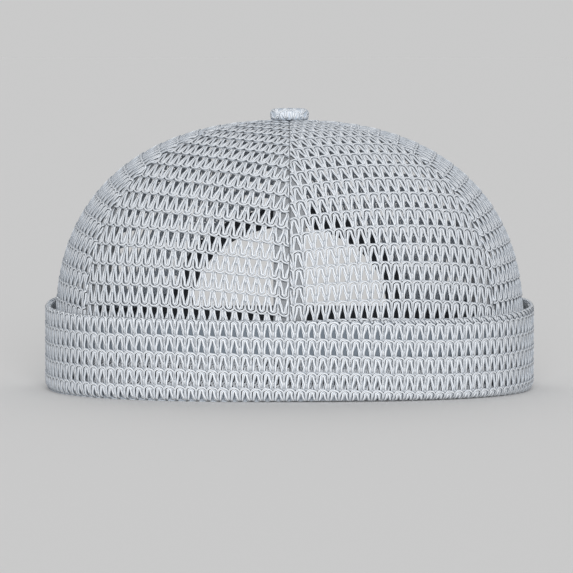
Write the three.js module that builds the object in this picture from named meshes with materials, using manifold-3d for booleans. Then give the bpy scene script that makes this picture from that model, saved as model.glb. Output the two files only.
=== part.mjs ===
// A mesh skull cap standing on its turned-up cuff, in millimetres, +Z up, front towards -Y.
// The crown is six gores of openwork net. A faced cuff is turned up round its base, a dark
// sweatband lies inside, and a bound arch with a strap across its foot opens the back.
// The origin is on the ground, under the middle of the cap.
import * as THREE from "three";
import { mergeVertices } from "three/addons/utils/BufferGeometryUtils.js";
import Module from "manifold-3d";

const wasm = await Module();
wasm.setup();

// Crown: a superellipse in plan, carried up a superellipse profile
const CROWN_HALF_WIDTH = 104.3;
const CROWN_HALF_DEPTH = 80;
const CROWN_TOP = 119.6;
const SHOULDER = 27.5; // height where the upright wall starts to curve in
const PLAN_POWER = 2.45;
const PROFILE_POWER = 2.35;
const CROWN_FOOT = 3.2;
const CROWN_WALL = 2;
const SIDE_SEAM = 0.86; // share of the half width at which the side seams run
const EYELET = 3; // radius of the hole at the top that the button's post goes through
const GAP = 0.3; // clearance between neighbouring pieces
const STEPS_ACROSS = 8; // facets of each gore, shared by everything that lies along it
const STEPS_UP = 13;

// Net: the real stitch, enlarged so that the crown holds about a hundred gaps
const NET_SCALE = 3.4;
const STITCH_PITCH = 4.9;
const ROW_PITCH = 7.7;
const HOLE_WIDTH = 2.5;
const HOLE_HEIGHT = 5;
const FIRST_ROW = 40; // run along the gore from its foot to the first row of gaps
const NET_MARGIN = 4; // plain cloth beside each seam

// Cuff: a band turned up round the crown, and the cloth facing inside its rim
const CUFF_HEIGHT = 38;
const CUFF_TILT = 2.8; // how much lower its rim is at the front and higher at the back
const CUFF_FOOT = 8; // height up to which it doesn't tilt
const CUFF_OUT = 4.5; // how far it stands out from the crown
const CUFF_WALL = 1.2;
const FACING_WALL = 1;
const FACING_HEIGHT = 15;

// Back opening: an arch over a strap
const ARCH_HALF_WIDTH = 46;
const ARCH_SPRING = 32;
const ARCH_TOP = 70;
const ARCH_SEGMENTS = 14;
const BINDING_WIDTH = 9;
const STRAP_FOOT = 5;
const STRAP_TOP = 25;
const STRAP_WALL = 1.5;
const STRAP_TUCK = 13; // how far each end goes in under the cuff
const CUFF_OPEN_FOOT = 41; // half width of the break in the cuff, at its foot and its top
const CUFF_OPEN_TOP = 50;

// Inside: sweatband and seam tapes
const SWEATBAND_WALL = 1.5;
const SWEATBAND_TOP = 32;
const TAPE_WIDTH = 14;
const TAPE_WALL = 1;
const TAPE_END = 16; // radius round the top at which the tapes stop

// Top button: a cloth-covered cap on a post, with its back plate
const BUTTON_RADIUS = 8.7;
const BUTTON_HEIGHT = 5.2;
const POST_RADIUS = 2.2;
const PLATE_RADIUS = 6;
const PLATE_WALL = 1;

const netColour = { color: 0xbfc5cc, roughness: 0.85, metalness: 0 };
const cuffColour = { color: 0xb6bcc4, roughness: 0.85, metalness: 0 };
const facingColour = { color: 0x8a93a0, roughness: 0.9, metalness: 0 };
const darkColour = { color: 0x1d2128, roughness: 0.9, metalness: 0 };

const cap = new THREE.Group();

// Adds a solid to the cap as a named mesh
function place(name, solid, look) {
  const made = solid.getMesh();
  const geometry = new THREE.BufferGeometry();
  geometry.setAttribute("position", new THREE.BufferAttribute(made.vertProperties, 3));
  geometry.setIndex(new THREE.BufferAttribute(made.triVerts, 1));
  geometry.computeVertexNormals();
  const mesh = new THREE.Mesh(geometry, new THREE.MeshStandardMaterial(look));
  mesh.name = name;
  cap.add(mesh);
}

// A closed geometry as a solid that can be cut and joined
function solidOf(geometry) {
  const bare = geometry.clone();
  bare.deleteAttribute("normal");
  bare.deleteAttribute("uv");
  const merged = mergeVertices(bare, 1e-3);
  const vertProperties = merged.attributes.position.array;
  const triVerts = new Uint32Array(merged.index.array);
  return new wasm.Manifold(new wasm.Mesh({ numProp: 3, vertProperties, triVerts }));
}

// Moves every vertex of a flat geometry to its spot on the cap
function bend(geometry, spot) {
  const position = geometry.attributes.position;
  const vertex = new THREE.Vector3();
  for (let i = 0; i < position.count; i += 1) {
    vertex.fromBufferAttribute(position, i);
    const { x, y, z } = spot(vertex);
    position.setXYZ(i, x, y, z);
  }
  return geometry;
}

// The crown's surface. Azimuth is 0 at the front and grows towards +X.
function planRadius(azimuth) {
  const across = Math.abs(Math.sin(azimuth) / CROWN_HALF_WIDTH) ** PLAN_POWER;
  const along = Math.abs(Math.cos(azimuth) / CROWN_HALF_DEPTH) ** PLAN_POWER;
  return (across + along) ** (-1 / PLAN_POWER);
}

// The slope of the plan's rim along one axis, at that value of its coordinate
function planSlope(value, half) {
  return (Math.sign(value) * Math.abs(value / half) ** (PLAN_POWER - 1)) / half;
}

// The profile from the foot to the top: share of the plan's size, height, and run from the foot
function profileTable() {
  const steps = 240;
  const meanRadius = (CROWN_HALF_WIDTH + CROWN_HALF_DEPTH) / 2;
  const rows = [{ run: 0, share: 1, height: CROWN_FOOT }];
  for (let i = 0; i <= steps; i += 1) {
    const turn = (i / steps) * (Math.PI / 2);
    const share = Math.cos(turn) ** (2 / PROFILE_POWER);
    const rise = Math.sin(turn) ** (2 / PROFILE_POWER);
    const height = SHOULDER + (CROWN_TOP - SHOULDER) * rise;
    const last = rows[rows.length - 1];
    const run = last.run + Math.hypot((last.share - share) * meanRadius, height - last.height);
    rows.push({ run, share, height });
  }
  return rows;
}

const profile = profileTable();

// The row of a table at which one of its columns reaches a value
function between(rows, key, value) {
  const sign = Math.sign(rows.at(-1)[key] - rows[0][key]);
  const found = rows.findIndex((row) => (row[key] - value) * sign >= 0);
  const next = found < 0 ? rows.length - 1 : Math.max(found, 1);
  const [low, high] = [rows[next - 1], rows[next]];
  const part = (value - low[key]) / (high[key] - low[key] || 1);
  const mix = (name) => low[name] + (high[name] - low[name]) * part;
  return { run: mix("run"), share: mix("share"), height: mix("height") };
}

// A point on the crown, or that far outside its surface
function crownPoint(azimuth, run, out) {
  const { share, height } = between(profile, "run", run);
  const radius = planRadius(azimuth) * share;
  const point = new THREE.Vector3(radius * Math.sin(azimuth), -radius * Math.cos(azimuth), height);
  const tall = CROWN_TOP - SHOULDER;
  const lean = Math.max(height - SHOULDER, 0) / tall;
  const flat = new THREE.Vector2(
    planSlope(Math.sin(azimuth) * planRadius(azimuth), CROWN_HALF_WIDTH),
    planSlope(-Math.cos(azimuth) * planRadius(azimuth), CROWN_HALF_DEPTH),
  ).multiplyScalar(Math.max(share, 1e-6) ** (PROFILE_POWER - 1));
  const normal = new THREE.Vector3(flat.x, flat.y, lean ** (PROFILE_POWER - 1) / tall).normalize();
  return point.addScaledVector(normal, out);
}

// A point beside the crown's upright foot, that far out and at that height
function footPoint(azimuth, out, height) {
  const radius = planRadius(azimuth);
  const [x, y] = [radius * Math.sin(azimuth), -radius * Math.cos(azimuth)];
  const slopes = [planSlope(x, CROWN_HALF_WIDTH), planSlope(y, CROWN_HALF_DEPTH)];
  const normal = new THREE.Vector2(...slopes).normalize();
  return new THREE.Vector3(x + normal.x * out, y + normal.y * out, height);
}

// Tilts a height on the cuff as its rim is tilted, and leaves its foot on the ground
function tilted(azimuth, height) {
  const part = Math.max((height - CUFF_FOOT) / (CUFF_HEIGHT - CUFF_FOOT), 0);
  return height - CUFF_TILT * Math.cos(azimuth) * part;
}

// A closed section, points of [out, height], swept round the crown's foot
function ring(section, heightAt = (azimuth, height) => height) {
  const count = section.length;
  const points = [];
  for (const azimuth of azimuths)
    for (const [out, height] of section)
      points.push(...footPoint(azimuth, out, heightAt(azimuth, height)));
  const faces = [];
  for (let i = 0; i < azimuths.length; i += 1)
    for (let j = 0; j < count; j += 1) {
      const next = ((i + 1) % azimuths.length) * count;
      const [a, b] = [i * count + j, i * count + ((j + 1) % count)];
      const [c, d] = [next + ((j + 1) % count), next + j];
      faces.push(a, c, b, a, d, c);
    }
  const geometry = new THREE.BufferGeometry();
  geometry.setAttribute("position", new THREE.BufferAttribute(new Float32Array(points), 3));
  geometry.setIndex(faces);
  return solidOf(geometry);
}

// An upright prism through the back of the cap, from an outline in x and height
function backPrism(shape) {
  const depth = 2 * CROWN_HALF_DEPTH;
  const options = { depth, bevelEnabled: false, curveSegments: ARCH_SEGMENTS };
  const prism = new THREE.ExtrudeGeometry(shape, options);
  prism.rotateX(Math.PI / 2).translate(0, depth + CROWN_HALF_DEPTH / 4, 0);
  return solidOf(prism);
}

// The azimuth at which the plan reaches that x, on the right of the front
function azimuthAt(x) {
  const share = (1 - (x / CROWN_HALF_WIDTH) ** PLAN_POWER) ** (1 / PLAN_POWER);
  return Math.atan2(x, CROWN_HALF_DEPTH * share);
}

const sideSeam = azimuthAt(SIDE_SEAM * CROWN_HALF_WIDTH);

// Gores, in order round the cap. Every second one has its net upside down, as cut from the cloth.
const gores = [
  { name: "front_right", from: 0, to: sideSeam, upright: true },
  { name: "side_right", from: sideSeam, to: Math.PI - sideSeam, upright: false },
  { name: "back_right", from: Math.PI - sideSeam, to: Math.PI, upright: true },
  { name: "back_left", from: Math.PI, to: Math.PI + sideSeam, upright: false },
  { name: "side_left", from: Math.PI + sideSeam, to: 2 * Math.PI - sideSeam, upright: true },
  { name: "front_left", from: 2 * Math.PI - sideSeam, to: 2 * Math.PI, upright: false },
];

const gorePart = ({ from, to }, i) => THREE.MathUtils.lerp(from, to, i / STEPS_ACROSS);
const goreSteps = [...Array(STEPS_ACROSS).keys()];
const azimuths = gores.flatMap((gore) => goreSteps.map((i) => gorePart(gore, i)));

// Half the width of a gore, along the cloth at its foot
function goreHalfWidth({ from, to }) {
  const steps = 24;
  let length = 0;
  for (let i = 0; i < steps; i += 1) {
    const a = footPoint(from + ((to - from) * i) / steps, 0, 0);
    const b = footPoint(from + ((to - from) * (i + 1)) / steps, 0, 0);
    length += a.distanceTo(b);
  }
  return length / 2;
}

const downwards = [...profile].reverse();
const runAtRadius = (radius) => between(downwards, "share", radius / CROWN_HALF_DEPTH).run;
const runAtHeight = (height) => between(profile, "height", height).run;
const runToEyelet = runAtRadius(EYELET);

// A wall along the crown with its outer face that far out. It follows the crown's own facets,
// and reach(side, run) gives its edge's azimuth on the side -1 or 1.
function wall({ fromRun, toRun, out, thickness, across, reach }) {
  const stops = Array.from({ length: STEPS_UP + 1 }, (_, i) => (runToEyelet * i) / STEPS_UP);
  const runs = [fromRun, ...stops.filter((run) => run > fromRun + 1 && run < toRun - 1), toRun];
  const up = runs.length - 1;
  return solidOf(
    bend(new THREE.BoxGeometry(1, up, thickness, across, up, 1), ({ x, y, z }) => {
      const run = runs[Math.round(y + up / 2)];
      const azimuth = THREE.MathUtils.lerp(reach(-1, run), reach(1, run), x + 0.5);
      return crownPoint(azimuth, run, out + z - thickness / 2);
    }),
  );
}

// An angle that spans a given length round the crown at that run
function angleOf(length, azimuth, run) {
  return length / (planRadius(azimuth) * between(profile, "run", run).share);
}

// One gap of the net as a flat outline: wide at its foot, narrow at its top
function gapOutline(upright) {
  const [w, h] = [(HOLE_WIDTH * NET_SCALE) / 2, HOLE_HEIGHT * NET_SCALE];
  const corners = [
    [-w, 0],
    [w, 0],
    [0.3 * w, h],
    [-0.3 * w, h],
  ];
  return new THREE.Shape(corners.map(([x, y]) => new THREE.Vector2(x, upright ? y : h - y)));
}

// Cutters for the gaps of a gore, in rows of as many as fit between its seams
function gapCutters(gore, halfWidth, isClear) {
  const middle = (gore.from + gore.to) / 2;
  const half = (gore.to - gore.from) / 2;
  const [pitch, rowPitch] = [STITCH_PITCH * NET_SCALE, ROW_PITCH * NET_SCALE];
  const tall = HOLE_HEIGHT * NET_SCALE;
  const cutters = [];
  for (let run = FIRST_ROW; run + tall < runToEyelet - BUTTON_RADIUS; run += rowPitch) {
    const room = 2 * (halfWidth * between(profile, "run", run + tall).share - NET_MARGIN);
    const count = Math.floor(room / pitch);
    for (let i = 0; i < count; i += 1) {
      const centre = (i - (count - 1) / 2) * pitch;
      const spot = (x, y, out) => {
        const share = between(profile, "run", y).share;
        return crownPoint(middle + (x / (halfWidth * share)) * half, y, out);
      };
      if (!isClear(spot(centre, run + tall / 2, 0))) continue;
      const options = { depth: 3 * CROWN_WALL, bevelEnabled: false };
      const prism = new THREE.ExtrudeGeometry(gapOutline(gore.upright), options);
      bend(prism, ({ x, y, z }) => spot(centre + x, run + y, z - 2 * CROWN_WALL));
      cutters.push(solidOf(prism));
    }
  }
  return cutters;
}

// The back arch, from below the ground to its top
function archPrism(halfWidth, top) {
  const shape = new THREE.Shape();
  shape.moveTo(-halfWidth, -10);
  shape.lineTo(halfWidth, -10);
  shape.lineTo(halfWidth, ARCH_SPRING);
  shape.absellipse(0, ARCH_SPRING, halfWidth, top - ARCH_SPRING, 0, Math.PI, false, 0);
  return backPrism(shape);
}

const arch = archPrism(ARCH_HALF_WIDTH, ARCH_TOP);

// True for a gap that keeps clear of the arch and its edge
function clearOfArch({ x, y, z }) {
  if (y < 0) return true;
  const edge = NET_MARGIN + HOLE_HEIGHT * NET_SCALE * 0.6;
  const [w, h] = [ARCH_HALF_WIDTH + edge, ARCH_TOP - ARCH_SPRING + edge];
  return Math.abs(x) > w || (z > ARCH_SPRING && Math.hypot(x / w, (z - ARCH_SPRING) / h) > 1);
}

// Crown
for (const gore of gores) {
  const inset = (run) => angleOf(GAP / 2, gore.from, run);
  const seam = (side, run) => (side < 0 ? gore.from + inset(run) : gore.to - inset(run));
  const crownWall = { fromRun: 0, toRun: runToEyelet, out: 0, thickness: CROWN_WALL };
  let solid = wall({ ...crownWall, across: STEPS_ACROSS, reach: seam }).subtract(arch);
  const cutters = gapCutters(gore, goreHalfWidth(gore), clearOfArch);
  for (const cutter of cutters) solid = solid.subtract(cutter);
  place(`crown_${gore.name}`, solid, netColour);
}

// Seam tapes
gores.forEach((gore, i) => {
  const overArch = Math.abs(gore.from - Math.PI) < 1e-6;
  const foot = overArch ? ARCH_TOP + BINDING_WIDTH + 5 * GAP : SWEATBAND_TOP + GAP;
  const edge = (side, run) => gore.from + side * angleOf(TAPE_WIDTH / 2, gore.from, run);
  const span = { fromRun: runAtHeight(foot), toRun: runAtRadius(TAPE_END) };
  const out = -CROWN_WALL - 2 * GAP;
  const tape = wall({ ...span, out, thickness: TAPE_WALL, across: 2, reach: edge });
  place(`seam_tape_${i + 1}`, tape, netColour);
});

// Cuff, with its fold under the crown's foot and a break at the back
const cuffIn = CUFF_OUT - CUFF_WALL;
const cuffSection = [
  [-1.4, 0],
  [1.8, 0],
  [3.5, 1.1],
  [4.3, 3.6],
  [CUFF_OUT, CUFF_FOOT],
  [CUFF_OUT, CUFF_HEIGHT - 0.8],
  [CUFF_OUT - 0.5, CUFF_HEIGHT],
  [cuffIn - FACING_WALL, CUFF_HEIGHT],
  [cuffIn - FACING_WALL, CUFF_HEIGHT - 1.2],
  [cuffIn, CUFF_HEIGHT - 1.4],
  [cuffIn, 4.4],
  [2.2, CROWN_FOOT - GAP],
  [-1.6, CROWN_FOOT - GAP],
  [-1.9, 0.9],
];

const breakRise = CUFF_HEIGHT + 10;
const breakSpread = ((CUFF_OPEN_TOP - CUFF_OPEN_FOOT) * breakRise) / CUFF_HEIGHT;
const cuffBreak = backPrism(
  new THREE.Shape([
    new THREE.Vector2(-CUFF_OPEN_FOOT, -1),
    new THREE.Vector2(CUFF_OPEN_FOOT, -1),
    new THREE.Vector2(CUFF_OPEN_FOOT + breakSpread, breakRise - 1),
    new THREE.Vector2(-CUFF_OPEN_FOOT - breakSpread, breakRise - 1),
  ]),
);
place("cuff", ring(cuffSection, tilted).subtract(cuffBreak), cuffColour);

const facingTop = CUFF_HEIGHT - 1.4 - GAP;
const facingSection = [
  [cuffIn - GAP - FACING_WALL, facingTop - FACING_HEIGHT],
  [cuffIn - GAP, facingTop - FACING_HEIGHT],
  [cuffIn - GAP, facingTop],
  [cuffIn - GAP - FACING_WALL, facingTop],
];
place("cuff_facing", ring(facingSection, tilted).subtract(cuffBreak), facingColour);

// Sweatband
const bandOut = -CROWN_WALL - GAP;
const sweatbandSection = [
  [bandOut - SWEATBAND_WALL, 0.6],
  [bandOut, 0.6],
  [bandOut, SWEATBAND_TOP],
  [bandOut - SWEATBAND_WALL, SWEATBAND_TOP],
];
place("sweatband", ring(sweatbandSection), darkColour);

// Binding round the arch, on the inside of the crown
const bindingWall = wall({
  fromRun: runAtHeight(SWEATBAND_TOP + GAP),
  toRun: runAtHeight(ARCH_TOP + 2 * BINDING_WIDTH),
  out: -CROWN_WALL - GAP,
  thickness: TAPE_WALL,
  across: 2 * STEPS_ACROSS,
  reach: (side) => Math.PI + side * sideSeam,
});
const archOutside = archPrism(ARCH_HALF_WIDTH + BINDING_WIDTH, ARCH_TOP + BINDING_WIDTH);
place("arch_binding", bindingWall.intersect(archOutside).subtract(arch), darkColour);

// Strap across the foot of the arch, its ends tucked between the crown and the cuff
const strapSection = [
  [GAP, STRAP_FOOT],
  [GAP + STRAP_WALL, STRAP_FOOT],
  [GAP + STRAP_WALL, STRAP_TOP],
  [GAP, STRAP_TOP],
];
const strapEnd = ARCH_HALF_WIDTH + STRAP_TUCK;
const strapReach = backPrism(
  new THREE.Shape([
    new THREE.Vector2(-strapEnd, -1),
    new THREE.Vector2(strapEnd, -1),
    new THREE.Vector2(strapEnd, CUFF_HEIGHT),
    new THREE.Vector2(-strapEnd, CUFF_HEIGHT),
  ]),
);
place("back_strap", ring(strapSection).intersect(strapReach), cuffColour);

// Top button, turned about its own axis
const underTop = CROWN_TOP - CROWN_WALL - GAP - PLATE_WALL;
const buttonFoot = CROWN_TOP + GAP;
const buttonProfile = [
  [0, underTop],
  [PLATE_RADIUS, underTop],
  [PLATE_RADIUS, underTop + PLATE_WALL - GAP],
  [POST_RADIUS, underTop + PLATE_WALL - GAP],
  [POST_RADIUS, buttonFoot],
  [0.9 * BUTTON_RADIUS, buttonFoot],
  [BUTTON_RADIUS, buttonFoot + 0.2 * BUTTON_HEIGHT],
  [0.98 * BUTTON_RADIUS, buttonFoot + 0.48 * BUTTON_HEIGHT],
  [0.84 * BUTTON_RADIUS, buttonFoot + 0.74 * BUTTON_HEIGHT],
  [0.5 * BUTTON_RADIUS, buttonFoot + 0.94 * BUTTON_HEIGHT],
  [0, buttonFoot + BUTTON_HEIGHT],
];
const button = new THREE.LatheGeometry(buttonProfile.map(([r, z]) => new THREE.Vector2(r, z)), 20);
place("top_button", solidOf(button.rotateX(Math.PI / 2)), netColour);

// The back stands out less than the front, so the cap moves until its middle is over the origin
const middle = new THREE.Box3().setFromObject(cap).getCenter(new THREE.Vector3());
for (const mesh of cap.children) mesh.geometry.translate(0, -middle.y, 0);

export default cap;
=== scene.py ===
"""Mesh skull cap: dresses the fixed frame of solids with its net, trims, floor, lights and camera."""

import math

import bmesh
import bpy
import numpy as np
from bpy.props import FloatProperty, FloatVectorProperty, PointerProperty
from mathutils import Matrix, Vector


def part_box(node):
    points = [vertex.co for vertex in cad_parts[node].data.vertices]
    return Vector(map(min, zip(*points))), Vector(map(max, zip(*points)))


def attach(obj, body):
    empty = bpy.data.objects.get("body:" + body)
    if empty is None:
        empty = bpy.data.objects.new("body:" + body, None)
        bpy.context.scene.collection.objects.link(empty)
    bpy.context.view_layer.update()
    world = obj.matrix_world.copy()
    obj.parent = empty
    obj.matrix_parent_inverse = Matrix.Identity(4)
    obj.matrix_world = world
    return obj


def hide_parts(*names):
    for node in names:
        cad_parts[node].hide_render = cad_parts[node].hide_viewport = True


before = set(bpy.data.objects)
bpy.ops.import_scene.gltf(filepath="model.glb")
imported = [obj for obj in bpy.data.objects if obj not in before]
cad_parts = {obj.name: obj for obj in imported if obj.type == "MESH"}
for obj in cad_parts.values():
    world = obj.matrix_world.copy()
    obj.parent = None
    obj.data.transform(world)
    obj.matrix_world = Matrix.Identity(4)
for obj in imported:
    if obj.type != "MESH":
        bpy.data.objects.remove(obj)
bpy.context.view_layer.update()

bl_info = {
    "name": "Mesh Skull Cap",
    "version": (1, 0, 0),
    "blender": (4, 5, 0),
    "location": "View3D > Sidebar > Cap",
    "description": "Builds an openwork skull cap with a turned-up cuff over its frame",
    "category": "Add Mesh",
}

# Boxes of the frame's solids, in metres
FRONT_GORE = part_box("crown_front_right")
SIDE_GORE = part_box("crown_side_right")
CUFF_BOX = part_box("cuff")
BAND_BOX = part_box("sweatband")
STRAP_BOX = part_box("back_strap")
BUTTON_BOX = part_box("top_button")
MM = 0.001
OUTWARD = Vector((0, 0, 1))

# Yarn and cloth
PLIES_ROUND = 5  # plies met round a strand
PLIES_ALONG = 160  # plies met along a metre of it
FUZZ_SCALE = 2600  # fineness of the yarn's fuzz
PATCH_SCALE = 160  # fineness of the uneven patches in woven cloth
CUFF_FULL = 1.1  # thickness of the cuff's strands against the crown's
RIM_FULL = 0.85  # thickness of those that run over its rim
BACK_FULL = 1.12  # thickness of those in the back gores

# The gores' net: the degrees it is turned, the share of a row cut off at the foot, how far its rows
# sag at the seams in millimetres, how much they bow as the crown narrows, the share of the gore over
# which the sag fades, and the degrees by which the rows turn further at the top
LAY = {
    "front_right": (3.8, 0.10, 3.6, 0.45, 0.64, -10.4),
    "front_left": (-1.7, 0.51, 2.4, 0.1, 0.71, 17.0),
    "back_left": (1.0, 0.75, 2.0, 0.8, 0.7, 0.0),
}
PLAIN_LAY = (1.0, 0.3, 2.0, 0.8, 0.7, 0.0)
SPARE_ACROSS, SPARE_UP = 1.2, 1.15  # size of the flat net against its gore's
GORE_GAP = 0.18 * MM  # from a seam to the net's cut edge
GORE_FOOT = 0.3 * MM  # from the crown's foot to the net's

# The cuff's net
NET_HALF = 0.6 * MM  # half its thickness
RIM_ROLL = 0.75 * MM  # radius at which it rolls over the rim
RIM_RETURN = 0.2 * MM  # how far it runs down inside
ROWS_DOWN = 7  # its rows below the rim
RIM_CUT = 0.62  # share of a stitch's height that is missing from the row over the rim
CUFF_GATHER = 0.03  # how far the foot of each arch closes in, as a share of a stitch
FOLD_REACH = 0.7 * MM  # how far the lower fold reaches in under the crown's surface
FOLD_DROP = 3.2 * MM  # height of the lower fold's curve
HEM_HALF = 0.7 * MM  # half the width of the hem at the cuff's break
# Azimuths in degrees, and how far the cuff's rows and its rim sag there in millimetres
SAG_AT = (-180, -110, -75, -55, -35, -15, 0, 15, 30, 45, 60, 85, 130)
ROW_SAG = (0.0, 0.2, 1.2, 1.0, 0.2, 0.5, 0.8, 1.3, 2.3, 3.4, 3.8, 3.2, 1.0)
RIM_SAG = (0.0, 0.1, 0.7, 1.1, 0.5, 0.6, 0.7, 0.6, 0.8, 1.2, 1.2, 0.5, 0.1)
# Azimuths in degrees, and how far the net leans as it rolls over the rim there, as a slope
LEAN_AT = (-180, 15, 35, 95, 150)
RIM_LEAN = (0.0, 0.0, 1.0, 1.0, 0.0)

# Seams, tapes, facing, band, strap and binding
SEAM_HALF = 0.17 * MM  # from a seam to the middle of each folded edge beside it
SEAM_YARN = 0.2 * MM  # radius of a folded edge
SEAM_SWELL = 0.13  # how much it swells and thins, as a share
SEAM_UNDER = 1.3 * MM  # how far it lies under the crown's surface
SEAM_DIP = 0.5 * MM  # how far the net dips in at a seam
SEAM_REACH = 0.6 * MM  # how far beside the seam it dips
TAPE_WIDTH = 14 * MM
TAPE_UNDER = 2.7 * MM  # from the crown's surface to a tape's middle
TAPE_END = 16 * MM  # radius round the top at which the tapes stop
FACING_HEIGHT = 15 * MM
FACING_IN = 2 * MM  # from the cuff's outside to the facing's middle
FACING_DROP = 0.9 * MM  # from the rim down to its upper edge
FACING_PAST = 1.5 * MM  # how far its ends pass the cuff's
BAND_IN = 3.05 * MM  # from the crown's surface in to the sweatband's middle
BAND_PUFF = 0.35 * MM  # how far its inner face swells
STRAP_OUT = 1.05 * MM  # from the crown's surface out to the strap's middle
BINDING_WIDTH = 9 * MM
BINDING_LIP = 3.2 * MM  # width of the binding on the outside of the arch
BINDING_FOOT = 26 * MM  # height at which its ends stop
BINDING_UNDER = 2.8 * MM  # how far its inner fold lies under the crown's surface
BINDING_OVER = 0.6 * MM  # how far its lip stands out of that surface

# The button
BUTTON_SINK = 0.25 * MM  # how far its foot lies under the crown's top
BUTTON_ROUND = 0.66  # share of its radius at which it turns down
COVER_ABOVE = 0.85 * MM  # room for the net over its top
COVER_BESIDE = 0.35 * MM  # room for the net beside it
COVER_STITCHES = (7, 5)  # across and up
COVER_SIZE = (0.85, 0.8)  # width and height of those stitches against the crown's
POST_RADIUS = 2.2 * MM
PLATE_RADIUS = 6 * MM
PLATE_THICK = 0.7 * MM

# The stage
KEY_TURN = (76, 0, 2)  # turn of the key light in degrees
KEY_SPREAD = 24
BACK_TURN = (52, 0, 180)  # turn of the light from behind
BACK_SPREAD = 70
FLOOR_HALF = 30  # metres
SENSOR = 36  # width of the camera's sensor in millimetres
FAR_END = 200  # how far the camera sees, in metres


def size(name, value, description):
    """A length property in metres."""
    return FloatProperty(
        name=name, default=value, description=description, min=0, unit="LENGTH", precision=5
    )


def number(name, value, description):
    """A plain number property."""
    return FloatProperty(name=name, default=value, description=description, precision=3)


def colour(name, value, description):
    """A linear colour property."""
    return FloatVectorProperty(
        name=name, default=value, description=description, subtype="COLOR", size=3, min=0, max=1
    )


class CapShape(bpy.types.PropertyGroup):
    """The form of the crown and its gores."""

    half_width: size("Half width", SIDE_GORE[1].x, "Half the crown's width at its base")
    half_depth: size("Half depth", 80 * MM, "Half the crown's depth at its base")
    foot: size("Foot", FRONT_GORE[0].z, "Height of the crown's lower edge")
    shoulder: size("Shoulder", 27.5 * MM, "Height where the wall starts to curve in")
    top: size("Top", FRONT_GORE[1].z, "Height of the crown")
    plan_power: number("Plan power", 2.45, "Power of the superellipse in plan")
    profile_power: number("Profile power", 2.35, "Power of the superellipse in profile")
    side_seam: number("Side seam", 0.86, "Share of the half width at which the side seams run")
    eyelet: size("Eyelet", 3 * MM, "Radius of the hole under the button")
    arch_half_width: size("Arch half width", 46 * MM, "Half width of the opening at the back")
    arch_spring: size("Arch spring", 32 * MM, "Height at which the arch starts to curve")
    arch_top: size("Arch top", 70 * MM, "Height of the arch")


class CapNet(bpy.types.PropertyGroup):
    """The openwork cloth."""

    stitch: size("Stitch", 4.75 * MM, "Width of one stitch")
    row: size("Row", 8.24 * MM, "Height of one row of the crown")
    yarn: size("Yarn", 0.56 * MM, "Radius of the yarn of the outer loops")
    flatness: number("Flatness", 0.5, "Thickness of a strand as a share of its width")
    depth: size("Depth", 0.7 * MM, "How far the net's middle lies under the crown's surface")
    unevenness: size("Unevenness", 0.12 * MM, "How far stitches stray from their place")


class CapCuff(bpy.types.PropertyGroup):
    """The turned-up cuff."""

    height: size("Height", 38 * MM, "Height of the rim at the sides")
    tilt: size("Tilt", 2.8 * MM, "How much lower the rim is at the front, higher at the back")
    level: size("Level", 8 * MM, "Height up to which the cuff doesn't tilt")
    out: size("Out", CUFF_BOX[1].x - SIDE_GORE[1].x, "How far the cuff stands out of the crown")
    row: size("Row", 7.27 * MM, "Height of one row of the cuff")
    first_row: size("First row", 6.85 * MM, "From the rim down to the first row line")
    open_foot: size("Open foot", 41 * MM, "Half width of the break at the back, at the foot")
    open_top: size("Open top", 50 * MM, "Half width of the break at the back, at the rim")


class CapFinish(bpy.types.PropertyGroup):
    """Colours of the cloths."""

    net: colour("Net", (0.85, 0.875, 0.91), "Pale grey yarn")
    # Painted shade: the darker tone painted into the yarn's grooves and on each strand's flanks and
    # inner side
    net_painted_shade: colour("Net shade", (0.34, 0.386, 0.443), "Darker grooves of the yarn")
    facing: colour("Facing", (0.175, 0.205, 0.24), "Slate grey cloth inside the cuff")
    dark: colour("Dark", (0.020, 0.023, 0.028), "Near-black band and binding")
    # The tape's grey is partly its own tone and partly painted shade of the folded net behind the
    # seams
    tape: colour("Tape", (0.31, 0.325, 0.345), "Grey tape behind the seams")
    strap: colour("Strap", (0.52, 0.55, 0.59), "Woven strap at the back")


class CapStage(bpy.types.PropertyGroup):
    """Floor, lights and camera."""

    floor: colour("Floor", (0.75, 0.75, 0.75), "Plain pale floor")
    key: number("Key", 2.85, "Strength of the soft key light")
    back: number("Back", 1.2, "Strength of the soft light from behind")
    ambient: number("Ambient", 0.33, "Strength of the light from all round")
    distance: size("Distance", 2.0, "From the cap to the camera")
    elevation: number("Elevation", 4.5, "Angle of the camera above the cap's foot, in degrees")
    view_width: size("View width", 255.8 * MM, "Width of the picture at the cap")
    view_height: size("View centre", 45.1 * MM, "Picture's middle above the foot of the cap")
    view_side: number("View side", -1.34, "Picture's middle right of the cap's, in millimetres")


# The crown's surface, worked out on arrays of points
def as_columns(*parts):
    """Puts arrays of coordinates side by side, as the columns of one array."""
    return np.stack(parts, axis=-1)


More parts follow.
